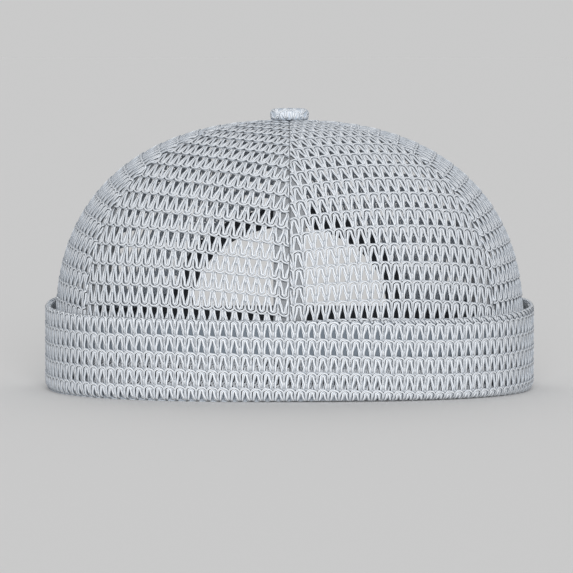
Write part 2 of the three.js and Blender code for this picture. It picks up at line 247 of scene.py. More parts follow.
class Crown:
    """Azimuth is 0 at the front and grows towards +X; run goes up the cloth from the foot."""

    def __init__(self, shape):
        self.half = (shape.half_width, shape.half_depth)
        self.plan, self.profile = shape.plan_power, shape.profile_power
        self.shoulder, self.tall = shape.shoulder, shape.top - shape.shoulder
        self.foot = shape.foot
        self.middle_y = FRONT_GORE[0].y + shape.half_depth
        self.mean_radius = (shape.half_width + shape.half_depth) / 2
        turn = np.linspace(0, math.pi / 2, 721)
        share = np.cos(turn).clip(0) ** (2 / self.profile)
        height = self.shoulder + self.tall * np.sin(turn) ** (2 / self.profile)
        self.share = np.concatenate(([1.0], share))
        self.height = np.concatenate(([shape.foot], height))
        steps = np.hypot(np.diff(self.share) * self.mean_radius, np.diff(self.height))
        self.run = np.concatenate(([0.0], np.cumsum(steps)))

    def radius(self, azimuth):
        """Radius of the plan in that direction."""
        across = np.abs(np.sin(azimuth) / self.half[0]) ** self.plan
        along = np.abs(np.cos(azimuth) / self.half[1]) ** self.plan
        return (across + along) ** (-1 / self.plan)

    def slope(self, value, half):
        """Slope of the plan's rim along one axis."""
        return np.sign(value) * np.abs(value / half) ** (self.plan - 1) / half

    def share_at(self, run):
        """Share of the plan's size at that run."""
        return np.interp(run, self.run, self.share)

    def run_at_height(self, height):
        """Run at which the crown reaches that height."""
        return float(np.interp(height, self.height, self.run))

    def run_at_share(self, share):
        """Run at which the plan has shrunk to that share."""
        return float(np.interp(-share, -self.share, self.run))

    def point(self, azimuth, run, out):
        """Points on the crown, or that far outside it, as an array of three columns."""
        share = self.share_at(run)
        height = np.interp(run, self.run, self.height)
        plan = self.radius(azimuth)
        x, y = plan * np.sin(azimuth), -plan * np.cos(azimuth)
        flat = np.maximum(share, 1e-6) ** (self.profile - 1)
        lean = np.maximum(height - self.shoulder, 0) / self.tall
        normal = as_columns(
            self.slope(x, self.half[0]) * flat,
            self.slope(y, self.half[1]) * flat,
            lean ** (self.profile - 1) / self.tall,
        )
        normal /= np.linalg.norm(normal, axis=-1, keepdims=True)
        spot = as_columns(x * share, y * share + self.middle_y, height)
        return spot + normal * np.asarray(out)[..., None]

    def foot_point(self, azimuth, out, height):
        """Points beside the crown's upright foot, that far out and at that height."""
        plan = self.radius(azimuth)
        x, y = plan * np.sin(azimuth), -plan * np.cos(azimuth)
        normal = as_columns(self.slope(x, self.half[0]), self.slope(y, self.half[1]))
        normal /= np.linalg.norm(normal, axis=-1, keepdims=True)
        flat = as_columns(x, y + self.middle_y) + normal * np.asarray(out)[..., None]
        return np.concatenate((flat, np.broadcast_to(height, x.shape)[..., None]), axis=-1)

    def ring(self, azimuth, out):
        """Points round the crown's foot, that far outside it."""
        return self.foot_point(azimuth, np.full(azimuth.shape, out), 0.0)

    def azimuth_at(self, x):
        """Azimuth right or left of the front at which the plan reaches that x."""
        share = (1 - np.abs(x / self.half[0]) ** self.plan) ** (1 / self.plan)
        return np.arctan2(x, self.half[1] * share)

    def back_point(self, x, height, out):
        """Points on the back of the crown from x and height, or that far outside it."""
        run = np.interp(height, self.height, self.run)
        azimuth = math.pi - self.azimuth_at(x / self.share_at(run))
        return self.point(azimuth, run, out)

    def lengths(self, start, end, out=0.0, steps=720):
        """Azimuths from start to end, and the length of cloth along the foot up to each."""
        azimuth = np.linspace(start, end, steps + 1)
        length = np.linalg.norm(np.diff(self.ring(azimuth, out), axis=0), axis=1)
        return azimuth, np.concatenate(([0.0], np.cumsum(length)))


class Section:
    """A line that cloth follows in two dimensions, read by the length along it."""

    def __init__(self, points):
        spots = np.array(points, dtype=float)
        steps = np.linalg.norm(np.diff(spots, axis=0), axis=1)
        self.length = np.concatenate(([0.0], np.cumsum(steps)))
        self.first, self.second = spots.T
        along = np.gradient(spots, self.length, axis=0)
        along /= np.linalg.norm(along, axis=1, keepdims=True)
        self.normal = along[:, 1], -along[:, 0]

    def at(self, length, off):
        """The two coordinates at that length, moved off the line to its right."""
        first = np.interp(length, self.length, self.first)
        second = np.interp(length, self.length, self.second)
        turn = [np.interp(length, self.length, part) for part in self.normal]
        return first + off * turn[0], second + off * turn[1]


def arc(centre, radii, start, end, steps):
    """Points on an arc from one angle to another, in degrees."""
    turn = np.radians(np.linspace(start, end, steps + 1))
    return [
        (centre[0] + radii[0] * math.cos(part), centre[1] + radii[1] * math.sin(part))
        for part in turn
    ]


def gores(crown, shape):
    """The six gores in order round the cap. Every second one has its net upside down."""
    seam = crown.azimuth_at(shape.side_seam * shape.half_width)
    turn = math.pi
    edges = [0, seam, turn - seam, turn, turn + seam, 2 * turn - seam, 2 * turn]
    names = ["front_right", "side_right", "back_right", "back_left", "side_left", "front_left"]
    ways_up = [True, False, True, False, True, False]
    return list(zip(names, edges, edges[1:], ways_up))


# Tools for meshes
def uv_layer(bm):
    """The mesh's UV map, made if it has none."""
    return bm.loops.layers.uv.verify()


def strand_frames(path):
    """A frame at each point of a path: its third axis along the path, its second inward."""
    spots = [Vector(point) for point in path]
    frames = []
    for i, spot in enumerate(spots):
        along = spots[min(i + 1, len(spots) - 1)] - spots[max(i - 1, 0)]
        along.normalize()
        side = along.cross(OUTWARD)
        side.normalize()
        turned = Matrix((side, along.cross(side), along)).transposed().to_4x4()
        frames.append(Matrix.Translation(spot) @ turned)
    return frames


def add_strand(bm, path, radii, sides, flatness=1.0):
    """Adds a closed strand of yarn along a path. Its UV map holds turns round it and metres."""
    frames = [
        turned @ Matrix.Diagonal((radius, flatness * radius, 1, 1))
        for turned, radius in zip(strand_frames(path), radii)
    ]
    flat_out = Matrix.Rotation(math.pi / sides, 4, "Z")
    start = bmesh.ops.create_circle(
        bm, cap_ends=True, cap_tris=False, segments=sides, radius=1, matrix=frames[0] @ flat_out
    )
    ring = start["verts"]
    edges = list({edge for vert in ring for edge in vert.link_edges})
    place = {}
    length = 0.0
    faces = []
    for i, turned in enumerate(frames):
        if i:
            grown = bmesh.ops.extrude_edge_only(bm, edges=edges)["geom"]
            ring = [item for item in grown if isinstance(item, bmesh.types.BMVert)]
            faces += [item for item in grown if isinstance(item, bmesh.types.BMFace)]
            fresh = set(ring)
            edges = [
                item
                for item in grown
                if isinstance(item, bmesh.types.BMEdge) and fresh.issuperset(item.verts)
            ]
            bmesh.ops.transform(bm, matrix=turned @ frames[i - 1].inverted(), verts=ring)
            length += (turned.translation - frames[i - 1].translation).length
        back = turned.inverted()
        for vert in ring:
            spot = back @ vert.co
            place[vert] = ((math.atan2(spot.y, spot.x) / math.tau) % 1, length)
    bmesh.ops.edgeloop_fill(bm, edges=edges)
    layer = uv_layer(bm)
    for face in faces:
        turns = [place[vert][0] for vert in face.verts]
        wrapped = max(turns) - min(turns) > 0.5
        for loop in face.loops:
            turn, far = place[loop.vert]
            loop[layer].uv = (turn + 1 if wrapped and turn < 0.5 else turn, far)


def mirrored(half_path):
    """A path that runs up one side and down the other, from its left half with its apex last."""
    return list(half_path) + [(-x, *rest) for x, *rest in reversed(half_path[:-1])]


def mesh_from(bm, name):
    """Turns a bmesh into a mesh with its faces outwards."""
    bmesh.ops.recalc_face_normals(bm, faces=bm.faces[:])
    mesh = bpy.data.meshes.new(name)
    bm.to_mesh(mesh)
    bm.free()
    return mesh


def placed(name, data):
    """A new object in the scene."""
    made = bpy.data.objects.new(name, data)
    bpy.context.scene.collection.objects.link(made)
    return made


def repeated(mesh, columns, rows, across, up):
    """Copies a mesh in columns and rows, joined in one mesh, with its lower left at the origin."""
    stand = placed("repeat", mesh)
    for count, step in ((columns, (across, 0, 0)), (rows, (0, up, 0))):
        array = stand.modifiers.new("repeat", "ARRAY")
        array.count = count
        array.use_relative_offset = False
        array.use_constant_offset = True
        array.constant_offset_displace = step
    graph = bpy.context.evaluated_depsgraph_get()
    made = bpy.data.meshes.new_from_object(stand.evaluated_get(graph))
    bpy.data.objects.remove(stand)
    return made


def moved(mesh, spot):
    """Moves every vertex of a mesh. The function takes and gives three columns."""
    flat = np.empty(len(mesh.vertices) * 3)
    mesh.vertices.foreach_get("co", flat)
    x, y, z = flat.reshape(-1, 3).T
    mesh.vertices.foreach_set("co", np.ascontiguousarray(spot(x, y, z)).ravel())
    mesh.update()


def close_into(mesh, bm):
    """Closes a bmesh's cut ends and writes it into a mesh."""
    bmesh.ops.holes_fill(bm, edges=[edge for edge in bm.edges if edge.is_boundary], sides=0)
    bm.to_mesh(mesh)
    bm.free()


def trimmed(mesh, cuts):
    """Cuts a mesh off past planes, given as axis, value and side, and closes the cut ends."""
    bm = bmesh.new()
    bm.from_mesh(mesh)
    for axis, value, side in cuts:
        normal, place = Vector(), Vector()
        normal[axis], place[axis] = side, value
        everything = bm.verts[:] + bm.edges[:] + bm.faces[:]
        bmesh.ops.bisect_plane(
            bm, geom=everything, dist=1e-8, plane_co=place, plane_no=normal, clear_outer=True
        )
    close_into(mesh, bm)


def joined(meshes, name):
    """Joins meshes in one."""
    bm = bmesh.new()
    for mesh in meshes:
        bm.from_mesh(mesh)
    made = bpy.data.meshes.new(name)
    bm.to_mesh(made)
    bm.free()
    return made


def uneven(x, y, amount):
    """A smooth stray of every point across and up, the same each time."""
    sway = np.sin(x * 610 + 1.3) * np.sin(y * 470 + 0.4) + 0.7 * np.sin(x * 1390 + y * 830 + 2.1)
    rise = np.sin(x * 520 + 4.0) * np.sin(y * 690 + 2.6) + 0.7 * np.sin(x * 1010 - y * 1270 + 0.9)
    return amount * sway, amount * rise


def piece(mesh, name, material, nodes):
    """Puts a mesh in the scene as a smooth piece that stands for the given CAD nodes."""
    made = placed(name, mesh)
    mesh.materials.clear()
    mesh.materials.append(material)
    mesh.shade_smooth()
    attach(made, "root")
    if nodes:
        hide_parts(*nodes)
    return made


# Strands of one stitch: shares of its width and height, depth and thickness in yarn radii
INNER_ARCH = [
    (-0.360, -0.02, -0.4, 1.20),
    (-0.358, 0.12, -0.2, 1.34),
    (-0.320, 0.27, -0.1, 1.35),
    (-0.230, 0.45, -0.1, 1.35),
    (-0.170, 0.62, 0.0, 1.36),
    (-0.150, 0.79, 0.05, 1.50),
    (0.0, 0.850, 0.1, 1.30),
]
OUTER_LOOP = [
    (-0.480, 0.06, 0.0, 1.00),
    (-0.478, 0.35, 0.6, 0.95),
    (-0.468, 0.70, 0.7, 0.88),
    (-0.430, 0.86, 0.7, 0.88),
    (-0.290, 0.935, 0.7, 1.10),
    (-0.150, 0.965, 0.7, 1.10),
    (0.0, 0.985, 0.7, 0.90),
]
CHAIN = [
    (-0.52, 0.00, -0.6, 0.95),
    (-0.20, -0.01, -0.2, 0.95),
    (0.20, -0.04, -0.5, 0.95),
    (0.52, 0.00, -0.6, 0.95),
]


def stitch_mesh(net, row, full=1.0, gather=0.0):
    """One stitch of the net, flat, with its row line at y 0 and its middle at x 0."""
    bm = bmesh.new()
    arch = [(x + gather * max(1 - 2 * y, 0), y, *rest) for x, y, *rest in INNER_ARCH]
    for path in (mirrored(arch), mirrored(OUTER_LOOP), CHAIN):
        spots = [(x * net.stitch, y * row, out * net.yarn) for x, y, out, _ in path]
        radii = [thickness * net.yarn * full for *_, thickness in path]
        add_strand(bm, spots, radii, 4, net.flatness)
    return mesh_from(bm, "stitch")


# Materials
def shader(name, roughness, sheen=0.0):
    """A new material and its shader."""
    material = bpy.data.materials.new(name)
    material.use_nodes = True
    nodes = material.node_tree.nodes
    base = nodes["Principled BSDF"]
    base.inputs["Roughness"].default_value = roughness
    base.inputs["Sheen Weight"].default_value = sheen
    base.inputs["Sheen Roughness"].default_value = 0.5
    base.inputs["Specular IOR Level"].default_value = 0.25
    return material, base


def node(owner, kind, values=(), **settings):
    """Adds a node to a material or the world, its inputs given as pairs of a socket and a value."""
    made = owner.node_tree.nodes.new(kind)
    for key, value in settings.items():
        setattr(made, key, value)
    for socket, value in values:
        if isinstance(value, bpy.types.NodeSocket):
            link(owner, value, made.inputs[socket])
        else:
            made.inputs[socket].default_value = value
    return made


def link(owner, start, end):
    """Links two sockets of a material or the world."""
    owner.node_tree.links.new(start, end)


def maths(material, operation, *values, clamp=False):
    """The result of a maths node on values or sockets."""
    made = node(material, "ShaderNodeMath", enumerate(values), operation=operation, use_clamp=clamp)
    return made.outputs[0]


def smooth_range(material, value, low, high, start, end):
    """Goes smoothly from start to end as a value goes from low to high."""
    values = (("Value", value), (1, low), (2, high), (3, start), (4, end))
    return node(material, "ShaderNodeMapRange", values, interpolation_type="SMOOTHSTEP").outputs[0]


def noise(material, vector, scale, detail):
    """Soft noise from 0 to 1."""
    values = (("Vector", vector), ("Scale", scale), ("Detail", detail))
    return node(material, "ShaderNodeTexNoise", values).outputs["Fac"]


def toned(material, base, factor, dark, light):
    """Mixes two colours into the shader's colour."""
    values = ((0, factor), (6, (*dark, 1)), (7, (*light, 1)))
    mix = node(material, "ShaderNodeMix", values, data_type="RGBA")
    link(material, mix.outputs[2], base.inputs["Base Color"])


def bumped(material, base, height, depth, strength):
    """Raises the surface by a height times a depth in metres."""
    values = (("Height", height), ("Distance", depth), ("Strength", strength))
    bump = node(material, "ShaderNodeBump", values)
    link(material, bump.outputs["Normal"], base.inputs["Normal"])


def yarn_material(name, light, dark):
    """Matt yarn of fine plies that run round and along each strand, with a little fuzz. Its colour
    is painted darker in the grooves between plies and on each strand's flanks and inner side: painted
    shade."""
    material, base = shader(name, 0.85)
    spots = node(material, "ShaderNodeTexCoord")
    split = node(material, "ShaderNodeSeparateXYZ", ((0, spots.outputs["UV"]),))
    around, along = split.outputs[0], split.outputs[1]
    turn = maths(material, "MULTIPLY", around, PLIES_ROUND)
    phase = maths(material, "MULTIPLY_ADD", along, PLIES_ALONG, turn)
    plies = maths(material, "SINE", maths(material, "MULTIPLY", phase, math.tau))
    fibres = noise(material, spots.outputs["Object"], FUZZ_SCALE, 3.0)
    height = maths(material, "MULTIPLY_ADD", plies, 0.5, fibres)
    # Painted shade in the grooves, where the plies and fuzz lie low
    grooves = smooth_range(material, height, -0.05, 0.65, 0.0, 1.0)
    # Painted shade on each strand's flanks and inner side, where shade falls between strands
    inward = maths(material, "SINE", maths(material, "MULTIPLY", around, math.tau))
    painted_flank_shade = smooth_range(material, inward, -0.8, 0.1, 1.0, 0.15)
    tone = maths(material, "MULTIPLY", grooves, painted_flank_shade)
    toned(material, base, tone, dark, light)
    bumped(material, base, height, depth=0.12 * MM, strength=0.7)
    return material


def woven_material(name, light, dark, threads, depth):
    """Plain woven cloth read from the piece's UV map in metres: threads per metre each way. Its colour
    is painted darker where the weave lies low, as shade in its hollows, and varies in random patches.
    """
    material, base = shader(name, 0.85, sheen=0.15)
    spots = node(material, "ShaderNodeTexCoord")
    split = node(material, "ShaderNodeSeparateXYZ", ((0, spots.outputs["UV"]),))
    waves = [
        maths(material, "SINE", maths(material, "MULTIPLY", split.outputs[axis], threads * math.pi))
        for axis in (0, 1)
    ]
    lifted = maths(material, "MULTIPLY_ADD", maths(material, "MULTIPLY", *waves), 0.5, 0.5)
    patches = noise(material, spots.outputs["Object"], PATCH_SCALE, 4.0)
    # Painted shade where the weave lies low, plus random patches of the cloth's own tone
    tone = maths(material, "MULTIPLY_ADD", lifted, 0.5, patches, clamp=True)
    toned(material, base, tone, dark, light)
    bumped(material, base, lifted, depth, strength=0.8)
    return material


def scaled(tone, share):
    """A colour made darker or lighter."""
    return tuple(min(part * share, 1) for part in tone)


# Pieces
def cap_settings(context):
    """The crown's surface, and the cap's shape, net, cuff and finish."""
    scene = context.scene
    return Crown(scene.cap_shape), scene.cap_shape, scene.cap_net, scene.cap_cuff, scene.cap_finish


class CAP_OT_crown_net(bpy.types.Operator):
    """Build the six gores of openwork net"""

    bl_idname = "cap.crown_net"
    bl_label = "Crown net"

    def execute(self, context):
        crown, shape, net, _, finish = cap_settings(context)
        material = yarn_material("crown yarn", finish.net, finish.net_painted_shade)
        top = crown.run_at_share(shape.eyelet / shape.half_depth)
        stitch = stitch_mesh(net, net.row)
        fuller = stitch_mesh(net, net.row, BACK_FULL)
        for name, start, end, upright in gores(crown, shape):
            azimuths, lengths = crown.lengths(start, end)
            half = lengths[-1] / 2
            columns = 2 * math.ceil(half * SPARE_ACROSS / net.stitch) + 1
            rows = math.ceil(top * SPARE_UP / net.row)
            one = fuller if name.startswith("back") else stitch
            mesh = repeated(one, columns, rows, net.stitch, net.row)
            way = 1 if upright else -1
            self.lay_flat(mesh, crown, net, half, columns, rows, LAY.get(name, PLAIN_LAY), way, top)
            edge = 1 - GORE_GAP / half
            trimmed(mesh, ((0, edge, 1), (0, -edge, -1), (1, GORE_FOOT, -1), (1, top, 1)))

            def on_crown(u, run, out):
                azimuth = np.interp((u + 1) * half, lengths, azimuths)
                beside = (1 - np.abs(u)) * half * crown.share_at(run)
                dip = SEAM_DIP * np.exp(-((beside / SEAM_REACH) ** 2))
                return crown.point(azimuth, run, out - net.depth - dip)

            moved(mesh, on_crown)
            if name.startswith("back"):
                self.open_arch(mesh, shape, 1 if name == "back_right" else -1)
            piece(mesh, f"net_{name}", material, [f"crown_{name}"])
        bpy.data.meshes.remove(stitch)
        bpy.data.meshes.remove(fuller)
        return {"FINISHED"}

    def lay_flat(self, mesh, crown, net, half, columns, rows, lay, way, top):
        """Turns the flat net to its lay and lets its rows sag towards the seams."""
        tilt, first, row_sag, bow_share, fade_share, fan = lay
        tilt = math.radians(tilt)
        middle = (columns - 1) / 2 * net.stitch

        def spot(x, y, out):
            stray = uneven(x, y, net.unevenness)
            across = (x - middle + stray[0]) * way
            up = y + stray[1] if way > 0 else rows * net.row - y - stray[1]
            up = up - (1 + first) * net.row
            turned = across * math.cos(tilt) + up * math.sin(tilt)
            up = up * math.cos(tilt) - across * math.sin(tilt)
            up = up - turned * math.tan(math.radians(fan)) * up / top
            share = crown.share_at(up)
            near = np.maximum(share, 0.02)
            steep = -np.gradient(crown.share, crown.run) * crown.mean_radius
            slope = np.interp(up, crown.run, steep)
            bow = bow_share * turned**2 * slope / (2 * crown.mean_radius * near)
            fade = np.clip(1 - up / (fade_share * top), 0, 1)
            sag = row_sag * MM * np.clip(turned / (half * near), -1.2, 1.2) ** 2 * fade
            run = up - np.minimum(bow, 0.2 * top) - sag
            share = np.maximum(crown.share_at(run), 0.02)
            return as_columns(turned / (half * share), run, out)

        moved(mesh, spot)

    def open_arch(self, mesh, shape, side):
        """Cuts the net along the arch at the back."""
        spring, rise = shape.arch_spring, shape.arch_top - shape.arch_spring

        def edge(z):
            part = np.clip((z - spring) / rise, 0, 1)
            over = np.maximum(z - shape.arch_top, 0)
            return shape.arch_half_width * np.sqrt(1 - part**2) - 3 * over

        moved(mesh, lambda x, y, z: as_columns(side * x - edge(z), y, z))
        trimmed(mesh, ((0, 0.0, -1),))
        moved(mesh, lambda f, y, z: as_columns(side * (f + edge(z)), y, z))


class CAP_OT_cuff_net(bpy.types.Operator):
    """Build the turned-up net of the cuff, folded over at the rim and under at the foot"""

    bl_idname = "cap.cuff_net"
    bl_label = "Cuff net"

    def execute(self, context):
        crown, _, net, cuff, finish = cap_settings(context)
        material = yarn_material("cuff yarn", finish.net, finish.net_painted_shade)
        azimuths, lengths = crown.lengths(-math.pi, math.pi, out=cuff.out)
        columns = round(lengths[-1] / net.stitch)
        pitch = lengths[-1] / columns
        stitch = stitch_mesh(net, cuff.row, CUFF_FULL, CUFF_GATHER)
        thin = stitch_mesh(net, cuff.row, RIM_FULL)
        lower = repeated(stitch, columns, ROWS_DOWN, pitch, cuff.row)
        band = repeated(thin, columns, 1, pitch, cuff.row)
        inner = repeated(stitch, columns, 1, pitch, cuff.row)
        bpy.data.meshes.remove(stitch)
        bpy.data.meshes.remove(thin)
        trimmed(band, ((1, RIM_CUT * cuff.row, -1),))
        rise = (ROWS_DOWN - RIM_CUT) * cuff.row
        moved(band, lambda x, y, out: as_columns(x, y + rise, out))
        moved(inner, lambda x, y, out: as_columns(x, y + rise + cuff.row, out))
        mesh = joined([lower, band, inner], "cuff_net")
        rolled, fold = cuff_section(cuff), fold_section(cuff)
        top_line = (ROWS_DOWN - 1) * cuff.row + cuff.first_row - RIM_ROLL

        def start_at(along):
            return rim_height(cuff, np.interp(along, lengths, azimuths)) - RIM_ROLL

        def flat(x, y, out):
            stray = uneven(x, y, net.unevenness)
            x, above = x + stray[0] + pitch / 2, y + stray[1] - top_line
            azimuth = np.interp(x, lengths, azimuths)
            lower = sag(azimuth, ROW_SAG) - sag(azimuth, RIM_SAG)
            lean = np.interp(np.degrees(azimuth), LEAN_AT, RIM_LEAN, period=360)
            lean = lean * np.maximum(above - cuff.row + cuff.first_row - RIM_ROLL, 0)
            return as_columns(x - lean, above - lower, out)

        def on_cuff(along, height, out):
            azimuth = np.interp(along, lengths, azimuths)
            return cuff_point(crown, cuff, azimuth, height - start_at(along), out)

        moved(mesh, flat)
        trimmed(mesh, ((1, rolled.length[-2], 1),))
        moved(mesh, lambda x, above, out: as_columns(x, above + start_at(x), out))
        trimmed(mesh, ((1, cuff.level - fold.length[-1], -1),))
        back = crown.ring(azimuths, cuff.out)[:, 0]
        half = len(azimuths) // 4

        def left_end(height):
            return np.interp(open_to(cuff, height), -back[:half], lengths[:half])

        for end, side in ((left_end, -1), (lambda z: lengths[-1] - left_end(z), 1)):
            moved(mesh, lambda x, z, out: as_columns(x - end(z), z, out))
            trimmed(mesh, ((0, 0.0, side),))
            moved(mesh, lambda x, z, out: as_columns(x + end(z), z, out))
        bm = bmesh.new()
        top = float(start_at(0.0)) + rolled.length[-2]
        heights = np.arange(cuff.level - fold.length[-1], top, 1.5 * MM)
        for side, edge in ((1, left_end(heights)), (-1, lengths[-1] - left_end(heights))):
            path = [(x + side * HEM_HALF, z, 0.1 * MM) for x, z in zip(edge, heights)]
            add_strand(bm, path, [HEM_HALF] * len(path), 6, 0.7)
        mesh = joined([mesh, mesh_from(bm, "hems")], "cuff_net")
        moved(mesh, on_cuff)
        piece(mesh, "cuff_net", material, ["cuff"])
        return {"FINISHED"}


def open_to(cuff, height):
    """Half the width of the cuff's break at that height."""
    return cuff.open_foot + (cuff.open_top - cuff.open_foot) * height / cuff.height


def sag(azimuth, table):
    """How far the cuff's rows or its rim sag at an azimuth."""
    return np.interp(np.degrees(azimuth), SAG_AT, table, period=360) * MM


def rim_height(cuff, azimuth):
    """Height of the rim, which sinks to the front."""
    return cuff.height - cuff.tilt * np.cos(azimuth) - sag(azimuth, RIM_SAG)


def cuff_section(cuff):
    """The cuff's net from inside the rim, over it and a little down the outside."""
    outer = cuff.out - NET_HALF
    roll = RIM_ROLL
    inside = (outer - 2 * roll, -roll - RIM_RETURN)
    over = arc((outer - roll, -roll), (roll, roll), 180, 0, 16)
    return Section([inside, *over, (outer, -roll - 0.1 * MM)])


def fold_section(cuff):
    """The cuff's net from the level line down, round the fold and in under the crown."""
    outer = cuff.out - NET_HALF
    reach = (outer + FOLD_REACH) / 2
    round_ = arc((outer - reach, NET_HALF + FOLD_DROP), (reach, FOLD_DROP), 0, -180, 40)
    return Section([(outer, cuff.level), *round_])


def cuff_point(crown, cuff, azimuth, above, out):
    """Points on the cuff's net, from how far above the start of the rim's roll they lie."""
    rim = rim_height(cuff, azimuth)
    outer = cuff.out - NET_HALF
    start = rim - RIM_ROLL
    rolled = cuff_section(cuff)
    high_out, high_drop = rolled.at(rolled.length[-2] - above, -out)
    fold = fold_section(cuff)
    low_out, low_height = fold.at(cuff.level - (start + above), -out)
    straight = start + above
    is_high, is_low = above > 0, straight < cuff.level
    out_at = np.where(is_high, high_out, np.where(is_low, low_out, outer + out))
    height_at = np.where(is_high, rim + high_drop, np.where(is_low, low_height, straight))
    return crown.foot_point(azimuth, out_at, height_at)


class CAP_OT_seams(bpy.types.Operator):
    """Build the two folded edges that meet along each seam of the crown"""

    bl_idname = "cap.seams"
    bl_label = "Seam edges"

    def execute(self, context):
        crown, shape, net, _, finish = cap_settings(context)
        # The folded edges are the net's own yarn, painted to a third of its tone: painted shade of the
        # crease along the seam
        material = yarn_material("seam yarn in painted crease shade", scaled(finish.net, 0.3), scaled(finish.net_painted_shade, 0.4))
        top = crown.run_at_share(shape.eyelet / shape.half_depth)
        for i, (_, azimuth, _, _) in enumerate(gores(crown, shape)):
            over_arch = abs(azimuth - math.pi) < 1e-6
            foot = crown.run_at_height(shape.arch_top) if over_arch else 0.5 * MM
            bm = bmesh.new()
            for side in (-1, 1):
                runs = np.arange(foot, top, net.row / 6)
                swell = 1 + SEAM_SWELL * np.sin(runs / net.row * math.tau * 2 + side)
                path = [(side * SEAM_HALF, run, -SEAM_UNDER) for run in runs]
                add_strand(bm, path, list(swell * SEAM_YARN), 6)
            mesh = mesh_from(bm, f"seam_{i + 1}")
            moved(mesh, seam_spot(crown, azimuth, net))
            piece(mesh, f"seam_{i + 1}", material, [])
        return {"FINISHED"}


def seam_spot(crown, azimuth, net):
    """Places points along a seam, from how far beside it, along it and outside it they lie."""

    def spot(x, run, out):
        stray = uneven(run, run * 0.37, 0.5 * net.unevenness)[0]
        radius = np.maximum(crown.radius(azimuth) * crown.share_at(run), 1 * MM)
        return crown.point(azimuth + (x + stray) / radius, run, out)

    return spot


class CAP_OT_tapes(bpy.types.Operator):
    """Build the tape inside each seam of the crown"""

    bl_idname = "cap.tapes"
    bl_label = "Seam tapes"

    def execute(self, context):
        crown, shape, net, _, finish = cap_settings(context)
        # The tape's grey is partly painted shade of the folded net behind the seams
        shade = scaled(finish.tape, 0.7)
        material = woven_material("tape", finish.tape, shade, threads=1500, depth=0.12 * MM)
        for i, (_, azimuth, _, _) in enumerate(gores(crown, shape)):
            node_name = f"seam_tape_{i + 1}"
            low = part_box(node_name)[0]
            foot = crown.run_at_height(low.z + 1.5 * MM)
            top = crown.run_at_share(TAPE_END / shape.half_depth)
            mesh = cloth_strip(TAPE_WIDTH, top - foot, columns=6, rows=40, thickness=0.8 * MM)
            moved(mesh, lambda x, y, z: as_columns(x - TAPE_WIDTH / 2, y + foot, z - TAPE_UNDER))
            moved(mesh, seam_spot(crown, azimuth, net))
            piece(mesh, f"tape_{i + 1}", material, [node_name])
        return {"FINISHED"}


def cloth_strip(width, height, columns, rows, thickness):
    """A flat closed strip of cloth from the origin up and across, with soft edges. Its UV map
    is in metres."""
    bm = bmesh.new()
    bmesh.ops.create_grid(bm, x_segments=columns, y_segments=rows, size=0.5)
    grow = Matrix.Diagonal((width, height, 1, 1)) @ Matrix.Translation((0.5, 0.5, 0))
    bmesh.ops.transform(bm, matrix=grow, verts=bm.verts[:])
    bmesh.ops.solidify(bm, geom=bm.faces[:], thickness=thickness)
    low = min(vert.co.z for vert in bm.verts)
    bmesh.ops.translate(bm, vec=(0, 0, -low - thickness / 2), verts=bm.verts[:])
    layer = uv_layer(bm)
    for face in bm.faces:
        for loop in face.loops:
            loop[layer].uv = loop.vert.co.xy
    mesh = mesh_from(bm, "strip")
    soft = 0.9 * thickness

    def rounded(x, y, z):
        near = np.minimum(np.minimum(x, width - x), np.minimum(y, height - y))
        inset = np.clip(1 - near / soft, 0, 1)
        return as_columns(x, y, z * np.sqrt(1 - 0.85 * inset**2))

    moved(mesh, rounded)
    return mesh


def stitch_row(length, pitch, radius):
    """A row of sewn stitches along X from the origin."""
    bm = bmesh.new()
    profile = ((0.1, -radius), (0.28, 0), (0.62, 0), (0.8, -radius))
    path = [(share * pitch, 0, out) for share, out in profile]
    add_strand(bm, path, [radius] * len(path), 5)
    one = mesh_from(bm, "stitch row")
    made = repeated(one, max(int(length / pitch), 1), 1, pitch, 0)
    bpy.data.meshes.remove(one)
    return made


def sewn(strip, length, tall, margin, pitch, radius, out):
    """Joins a strip with a row of stitches near each long edge, that far out of its middle plane:
    on its upper face, or on the lower one where the distance is negative."""
    parts = [strip]
    for y in (margin, tall - margin):
        row = stitch_row(length, pitch, radius)
        moved(row, lambda x, up, z: as_columns(x, up + y, out + math.copysign(1, out) * z))
        parts.append(row)
    return joined(parts, "sewn strip")


class CAP_OT_cuff_facing(bpy.types.Operator):
    """Build the slate cloth strip inside the cuff's rim"""

    bl_idname = "cap.cuff_facing"
    bl_label = "Cuff facing"

    def execute(self, context):
        crown, _, _, cuff, finish = cap_settings(context)
        shade = scaled(finish.facing, 0.75)
        material = woven_material("facing cloth", finish.facing, shade, threads=1900, depth=0.1 * MM)
        out_at = cuff.out - FACING_IN
        azimuths, lengths = crown.lengths(-math.pi, math.pi, out=out_at)
        quarter = len(azimuths) // 4
        beside = -crown.ring(azimuths, out_at)[:quarter, 0]
        end = float(np.interp(cuff.open_top - FACING_PAST, beside, lengths[:quarter]))
        width = lengths[-1] - 2 * end
        mesh = cloth_strip(width, FACING_HEIGHT, columns=220, rows=8, thickness=0.8 * MM)

        def spot(across, y, z):
            azimuth = np.interp(across + end, lengths, azimuths)
            top = rim_height(cuff, azimuth) - FACING_DROP
            return crown.foot_point(azimuth, out_at + z, top - FACING_HEIGHT + y)

        moved(mesh, spot)
        piece(mesh, "cuff_facing_cloth", material, ["cuff_facing"])
        return {"FINISHED"}


